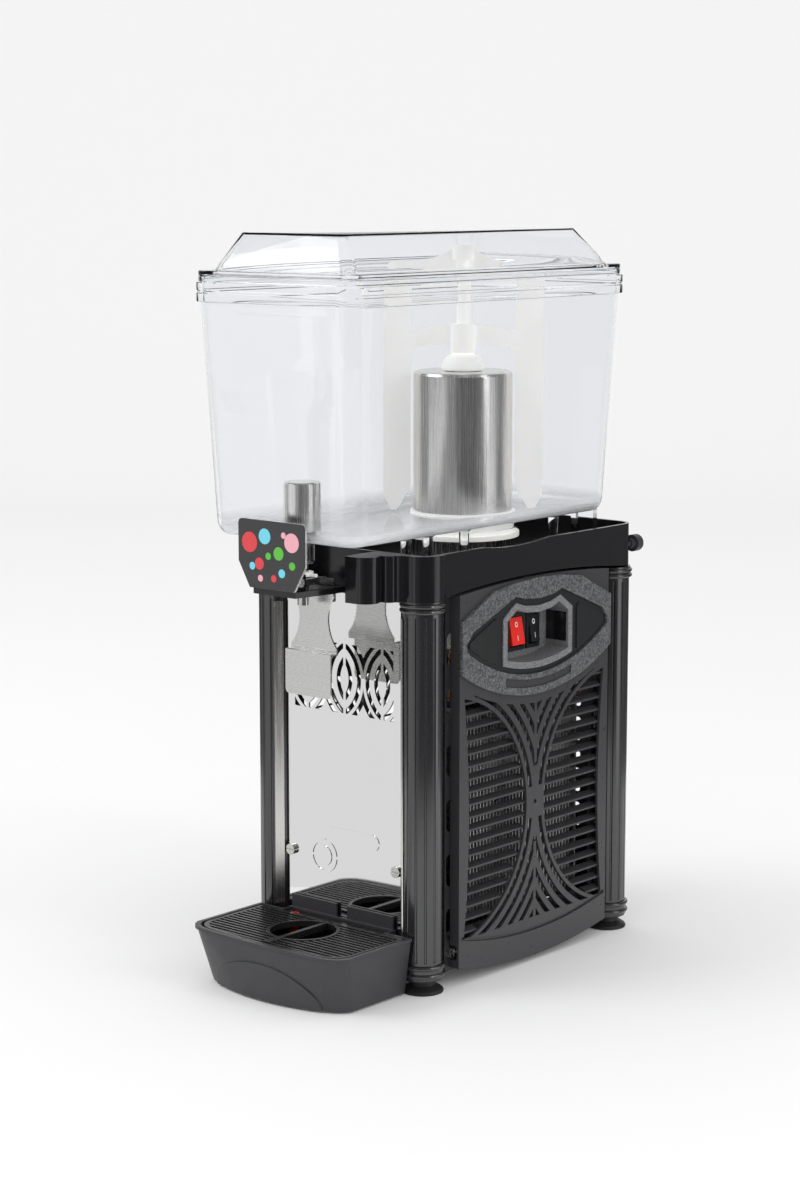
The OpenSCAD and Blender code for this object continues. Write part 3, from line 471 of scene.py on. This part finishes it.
def make_lid(material):
    """Flange with a skirt, and a dome with flat sides."""
    flange_half = lid_high.x
    flange_length = (lid_high.y - lid_low.y) / 2
    flange_middle = (lid_high.y + lid_low.y) / 2
    flange_z = lid_high.z - 31 * MM

    def flange(z, inset):
        radius = CORNER - min(inset, 6 * MM)
        return rounded_ring(flange_half - inset, flange_length - inset, flange_middle, radius, z)

    def dome(z, half, length, middle, radius):
        return rounded_ring(half * MM, length * MM, middle * MM, radius * MM, z)

    skirt, top = lid_low.z, lid_high.z
    hem = ((0, 4.2), (0, 0.6), (0.5, 0), (4, 0), (4.5, 0.5), (5, 0))
    outside = [flange(skirt + z * MM, i * MM) for z, i in hem]
    outside += [flange(flange_z - 0.5 * MM, 0), flange(flange_z, 0.6 * MM), flange(flange_z, 6 * MM)]
    outside += [dome(flange_z, 77.2, 175.2, 0, 12), dome(flange_z + 0.6 * MM, 76.2, 174.2, 0, 12)]
    outside += [dome(flange_z + 6 * MM, 73.5, 171, -1, 12), dome(top - 1.2 * MM, 57.6, 154.2, -4.4, 5.5)]
    outside += [dome(top - 0.3 * MM, 56.8, 153.4, -4.5, 5), dome(top, 55.8, 152.4, -4.5, 4.4)]
    inside = [dome(top - 2.8 * MM, 54.6, 151.2, -4.5, 3.6), dome(top - 3.6 * MM, 55.4, 152, -4.5, 4)]
    inside += [dome(flange_z + 5 * MM, 70.8, 168.3, -1, 9.4), dome(flange_z - 2.6 * MM, 73.3, 171.3, 0, 9.4)]
    inside += [flange(flange_z - 3.1 * MM, 14 * MM), flange(flange_z - 3.1 * MM, 5.4 * MM)]
    inside += [flange(flange_z - 3.6 * MM, 4.8 * MM), flange(skirt + 0.4 * MM, 4.8 * MM)]
    # one skin: from the ceiling down the inside, round the skirt and up the outside to the top
    lid = piece("lid_clear", *loft(inside + outside), material, 30)
    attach(lid, "lid")
    return lid


# ---- badge and marks -------------------------------------------------------


def disc(x, z, radius, y, thickness, steps=40):
    """A flat round chip facing the front, with a softened edge."""
    soft = min(0.25 * thickness, 0.1 * MM)
    rings = []
    for inset, depth in ((0, 0), (0, thickness - soft), (soft, thickness)):
        turn = [2 * math.pi * i / steps for i in range(steps)]
        r = radius - inset
        rings.append([(x + r * math.cos(a), y - depth, z + r * math.sin(a)) for a in turn])
    return loft(rings)


ROCKER_X, ROCKER_Z = 76.5 * MM, 290.5 * MM  # the rockers' pivots
SUNK, PROUD = -0.05, 0.06  # mm that a mark reaches under and over the rocker's face


def make_marks(material):
    """Usual off ring above and on bar below, printed on each rocker's two sloping faces."""
    hole, rim, tall = 1.1, 1.9, 1.25  # off ring: radii in mm, and how much taller than wide
    bar_half, bar_up = 0.35, 2.2  # on bar: half its width and height in mm
    section = ((hole, SUNK), (hole, PROUD), (rim, PROUD), (rim, SUNK), (hole, SUNK))
    for node, body in (("power_rocker", "power_button"), ("stir_rocker", "stir_button")):
        low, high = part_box(node)
        pivot = Vector((ROCKER_X, (low.y + high.y) / 2, ROCKER_Z))
        parts = []
        # the faces meet in a crease: (x, z) in mm from the pivot at the top, the crease and the bottom
        top, crease, bottom = Vector((2.2, 12.5)), Vector((4.3, 0.2)), Vector((6.3, -11.1))
        for start, end, ring in ((crease, top, True), (bottom, crease, False)):
            along = (end - start).normalized()
            out = Vector((along.y, -along.x))
            centre = (start + end) / 2

            def at(across, up, lift):
                flat = centre + along * up + out * lift
                return pivot + Vector((flat.x, across, flat.y)) * MM

            if ring:
                turn = [2 * math.pi * i / 32 for i in range(32)]
                rings = []
                for r, lift in section:
                    rings.append([at(r * math.cos(a), tall * r * math.sin(a), lift) for a in turn])
                parts.append(loft(rings, False, False))
            else:
                corners = ((-bar_half, -bar_up), (bar_half, -bar_up), (bar_half, bar_up), (-bar_half, bar_up))
                parts.append(loft([[at(x, z, lift) for x, z in corners] for lift in (SUNK, PROUD)]))
        marks = join(node + "_marks", parts, material)
        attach(marks, body)


def make_recess_shade(material):
    """Thin black gloss sheet on the rear wall of the switch recess, a painted shade that darkens the recess.
    """
    low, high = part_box("control_recess")
    wall = high.y - 6.2 * MM  # inner face of the rear wall
    thick, side_gap, end_gap = 0.3 * MM, 2.1 * MM, 17 * MM
    # painted shade: a black sheet that darkens the back of the recess
    shade_sheet = box_part(low.x + side_gap, high.x - side_gap, wall - thick, wall,
                      low.z + end_gap, high.z - end_gap)
    shade = join("recess_shade_sheet", [shade_sheet], material)
    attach(shade, "chassis")


def make_badge(colours, steel):
    """Bright edge round the badge, and plain bubbles in four colours on its face."""
    low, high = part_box("badge_plate")
    half, base, top = high.x, low.z, high.z
    shoulder = base + 21.5 * MM  # height where the sides turn upright
    foot = 24.2 * MM  # half width at the bottom
    corner = 4 * MM
    outline = [(-foot, base), (foot, base), (half, shoulder)]
    for i in range(9):
        a = math.radians(90 * i / 8)
        outline.append((half - corner + corner * math.cos(a), top - corner + corner * math.sin(a)))
    outline += [(-x, z) for x, z in reversed(outline[3:])]
    outline.append((-half, shoulder))
    middle = Vector((0, (base + top) / 2))
    rings = []
    for grow, y in ((0.15, high.y), (0.15, low.y + 1.2 * MM), (-0.5, low.y + 1.2 * MM), (-0.5, high.y)):
        ring = []
        for x, z in outline:
            away = (Vector((x, z)) - middle).normalized() * grow * MM
            ring.append((x + away.x, y, z + away.y))
        rings.append(ring)
    edge = piece("badge_edge", *loft(rings + rings[:1], False, False), steel)
    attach(edge, "chassis")
    bubbles = {  # x, z and radius in mm
        "red": ((-24, 383, 8.5), (-13, 366, 5), (3, 355, 3)),
        "blue": ((-7, 389, 6.5), (-21, 363.5, 3.2), (12, 360, 3.6)),
        "green": ((8.5, 376, 5.5), (-3, 373, 3), (23.5, 367, 3.4)),
        "pink": ((23, 386, 8), (14, 391.5, 2.6), (-12, 354, 2.8)),
    }
    for name, places in bubbles.items():
        parts = [disc(x * MM, z * MM, r * MM, low.y, 0.25 * MM) for x, z, r in places]
        chips = join("badge_bubbles_" + name, parts, colours[name])
        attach(chips, "chassis")


# ---- put together ----------------------------------------------------------

clear = clear_plastic("clear_plastic")
clear_bowl = clear_plastic("clear_bowl", FLOOR_Z + 18 * MM)
bowl, stir_y, tap_y = make_bowl(clear_bowl)
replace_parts(bowl, "bowl")
make_bowl_underside(clear, stir_y, tap_y)
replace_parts(make_lid(clear), "lid")

gloss = plain("black_gloss", (0.008, 0.008, 0.0095), 0.16, (60, 5, 0.12, 0.22), (420, 1, 0.012), 0.5, IOR=1.5)
satin = plain("black_satin", (0.042, 0.042, 0.045), 0.36, (90, 4, 0.26, 0.38), (2400, 2, 0.02), 0.6)
tray = plain("tray_black", (0.038, 0.038, 0.042), 0.40, (70, 5, 0.36, 0.48), (2600, 2, 0.025), 0.9)
grate = plain("grate_black", (0.012, 0.012, 0.013), 0.30, (120, 4, 0.24, 0.38), (2400, 2, 0.015), 0.4)
fascia = plain("fascia_black", (0.014, 0.015, 0.016), 0.34, (140, 4, 0.28, 0.40), (2600, 2, 0.02), 0.5)
enamel = plain("frame_steel", (0.022, 0.022, 0.025), 0.4, (120, 4, 0.30, 0.46), (1600, 3, 0.05), 0.5)
rubber = plain("rubber", (0.014, 0.014, 0.014), 0.55, (250, 5, 0.45, 0.66), (2200, 3, 0.04), 0.5)
bolts = plain("fastener_steel", (0.72, 0.71, 0.68), 0.22, (900, 4, 0.16, 0.34), (1800, 2, 0.02), 0.3, 1.0)
magnet = plain("magnet", (0.05, 0.05, 0.055), 0.5, (700, 5, 0.4, 0.62), (1400, 3, 0.05), 0.4, 0.5)
steel_upright = brushed("steel_upright", 2, (0.80, 0.785, 0.76))
steel_across = brushed("steel_across", 0, (0.82, 0.82, 0.81), 0.20, 0.34)

FINISHES = [
    (gloss, "top_basin"),
    (column_black(), "column_front_left column_front_right column_rear_left column_rear_right"),
    (satin, "side_grille_left side_grille_right lock_screw cable_gland badge_plate fan_shroud"),
    (tray, "drip_tray"),
    (grate, "drip_grate"),
    (grey_texture(), "blank_bezel control_bezel"),
    (fascia, "control_fascia power_switch_body stir_switch_body stir_rocker"),
    (recess_grey(), "control_recess"),
    (signal_red(), "power_rocker tray_float"),
    (white_plastic(), "stirrer stirrer_cup bowl_gasket tap_collar thermostat"),
    (steel_upright, "evaporator tap_piston drain_spout column_trims"),
    (steel_across, "push_lever centre_pin drive_shaft lever_pin shaft_tube"),
    (mirror_steel(), "front_panel"),
    (bolts, "foot_bolts panel_screws base_screws"),
    (enamel, "side_frame_left side_frame_right base_pan rear_panel compressor"),
    (rubber, "feet compressor_grommets tap_seal"),
    (aluminium(), "condenser drive_motor fan_motor fan_rotor"),
    (copper(), "evaporator_coil discharge_pipe suction_pipe liquid_pipe"),
    (magnet, "drive_magnet stirrer_magnet"),
    (clear, "bowl lid"),
]
for material, names in FINISHES:
    for name in names.split():
        mesh = nodes[name].data
        mesh.materials.clear()
        mesh.materials.append(material)

make_badge(
    {
        "red": paint("badge_red", (0.72, 0.06, 0.07)),
        "blue": paint("badge_blue", (0.18, 0.66, 0.80)),
        "green": paint("badge_green", (0.12, 0.52, 0.06)),
        "pink": paint("badge_pink", (0.84, 0.42, 0.48)),
    },
    steel_across,
)

make_marks(paint("mark_white", (0.85, 0.85, 0.85)))
make_recess_shade(gloss)

# ---- studio ----------------------------------------------------------------

VIEW_TURN = math.radians(40.59)


def stage_piece(name, points, faces, colour, glow=0.0):
    made = piece(name, points, faces, bpy.data.materials.new(name))
    material = made.data.materials[0]
    material.use_nodes = True
    shader = material.node_tree.nodes["Principled BSDF"]
    shader.inputs["Base Color"].default_value = (*colour, 1)
    shader.inputs["Roughness"].default_value = 0.9
    shader.inputs["Specular IOR Level"].default_value = 0.1
    if glow:
        shader.inputs["Emission Color"].default_value = (1, 1, 1, 1)
        shader.inputs["Emission Strength"].default_value = glow
    return made


def make_floor():
    """Pale floor that curves up into a backdrop behind the machine."""
    profile = [(-6, 0), (3.2, 0)]
    for i in range(1, 17):
        a = math.radians(90 * i / 16)
        profile.append((3.2 + 1.8 * math.sin(a), 1.8 - 1.8 * math.cos(a)))
    profile.append((5.0, 6))
    turn = Matrix.Rotation(VIEW_TURN, 3, "Z")
    rings = [[turn @ Vector((side * 6, y, z)) for side in (-1, 1)] for y, z in profile]
    points = [tuple(p) for ring in rings for p in ring]
    faces = [(2 * i, 2 * i + 1, 2 * i + 3, 2 * i + 2) for i in range(len(rings) - 1)]
    stage_piece("floor", points, faces, (0.88, 0.88, 0.88), 0.03)


def make_card(name, start, end, level, near=0.8, through_plastic=False, upright=None):
    """Glowing card seen only in reflections, lying round the machine between two angles in degrees, or
    standing upright metres tall at the distance near. A card with through_plastic is also met by rays
    that left through the bowl, so it shows in what stands inside."""
    steps = max(2, int((end - start) / 6))
    rings = []
    for i in range(steps + 1):
        a = math.radians(start + (end - start) * i / steps)
        if upright is None:
            section = [(near, 0.0015), (6, 0.0015), (6, 2.0)]
        else:
            section = [(near, 0.01), (near, upright)]
        rings.append([(r * math.cos(a), r * math.sin(a), z) for r, z in section])
    count = len(rings[0])
    points = [p for ring in rings for p in ring]
    faces = []
    for i in range(steps):
        for j in range(count - 1):
            faces.append((count * i + j, count * i + j + 1, count * (i + 1) + j + 1, count * (i + 1) + j))
    card = stage_piece(name, points, faces, (0, 0, 0), level)
    tree = card.data.materials[0].node_tree
    path = tree.nodes.new("ShaderNodeLightPath")
    unseen = tree.nodes.new("ShaderNodeBsdfTransparent")
    mix = tree.nodes.new("ShaderNodeMixShader")
    # the depth is 0 until the ray has been reflected, which leaves the card unseen
    tree.links.new(path.outputs["Glossy Depth"], mix.inputs["Fac"])
    tree.links.new(unseen.outputs["BSDF"], mix.inputs[1])
    tree.links.new(tree.nodes["Principled BSDF"].outputs["BSDF"], mix.inputs[2])
    tree.links.new(mix.outputs["Shader"], tree.nodes["Material Output"].inputs["Surface"])
    card.visible_camera = False
    card.visible_diffuse = False
    card.visible_transmission = through_plastic
    card.visible_shadow = False
    card.visible_volume_scatter = False


def make_light(name, place, aim, size, power):
    data = bpy.data.lights.new(name, "AREA")
    data.shape = "RECTANGLE"
    data.size, data.size_y = size
    data.energy = power
    light = bpy.data.objects.new(name, data)
    light.location = place
    light.rotation_euler = (Vector(aim) - Vector(place)).to_track_quat("-Z", "Y").to_euler()
    bpy.context.scene.collection.objects.link(light)


def make_world(level, reflected):
    """Even light from all round, with a darker level for every ray that Cycles calls glossy."""
    world = bpy.data.worlds.new("studio")
    world.use_nodes = True
    tree = world.node_tree
    path = tree.nodes.new("ShaderNodeLightPath")
    mix = tree.nodes.new("ShaderNodeMix")
    mix.data_type = "RGBA"
    tree.links.new(path.outputs["Is Glossy Ray"], mix.inputs["Factor"])
    colours = [socket for socket in mix.inputs if socket.type == "RGBA"]
    colours[0].default_value = (level, level, level, 1)
    colours[1].default_value = (reflected, reflected, reflected, 1)
    result = [socket for socket in mix.outputs if socket.type == "RGBA"][0]
    tree.links.new(result, tree.nodes["Background"].inputs["Color"])
    bpy.context.scene.world = world


def make_camera():
    data = bpy.data.cameras.new("camera")
    data.lens = 80.41
    data.sensor_width = 36
    data.clip_end = 50
    camera = bpy.data.objects.new("camera", data)
    camera.location = (1.4878, -1.7588, 0.6849)
    camera.rotation_euler = (math.radians(80.87), 0, VIEW_TURN)
    bpy.context.scene.collection.objects.link(camera)
    bpy.context.scene.camera = camera


make_floor()
make_card("card_left", -168, -137, 0.30, through_plastic=True)
make_card("card_front_left", -137, -104, 0.78, near=0.35)
make_card("card_front", -104, -91, 0.5)
make_card("card_front_grey", -88, -67, 0.26, through_plastic=True)
make_card("card_dark", -67, 8, 0.07, through_plastic=True)
make_card("card_right", 16, 33, 0.5)
make_card("card_right_grey", 33, 60, 0.22, through_plastic=True)
make_card("card_rear", 60, 190, 0.12)
make_card("strip_front", -92, -86, 1.2, near=0.75, upright=1.2)
make_card("strip_side", 10, 32, 1.3, near=0.75, upright=1.2)
make_world(0.97, 0.22)
make_light("key", (-1.6, -1.9, 2.2), (0, 0, 0.35), (1.6, 1.2), 22)
make_light("side", (2.4, 0.2, 1.2), (0, 0, 0.3), (0.5, 1.8), 10)
make_camera()
bpy.context.scene.view_settings.view_transform = "Standard"
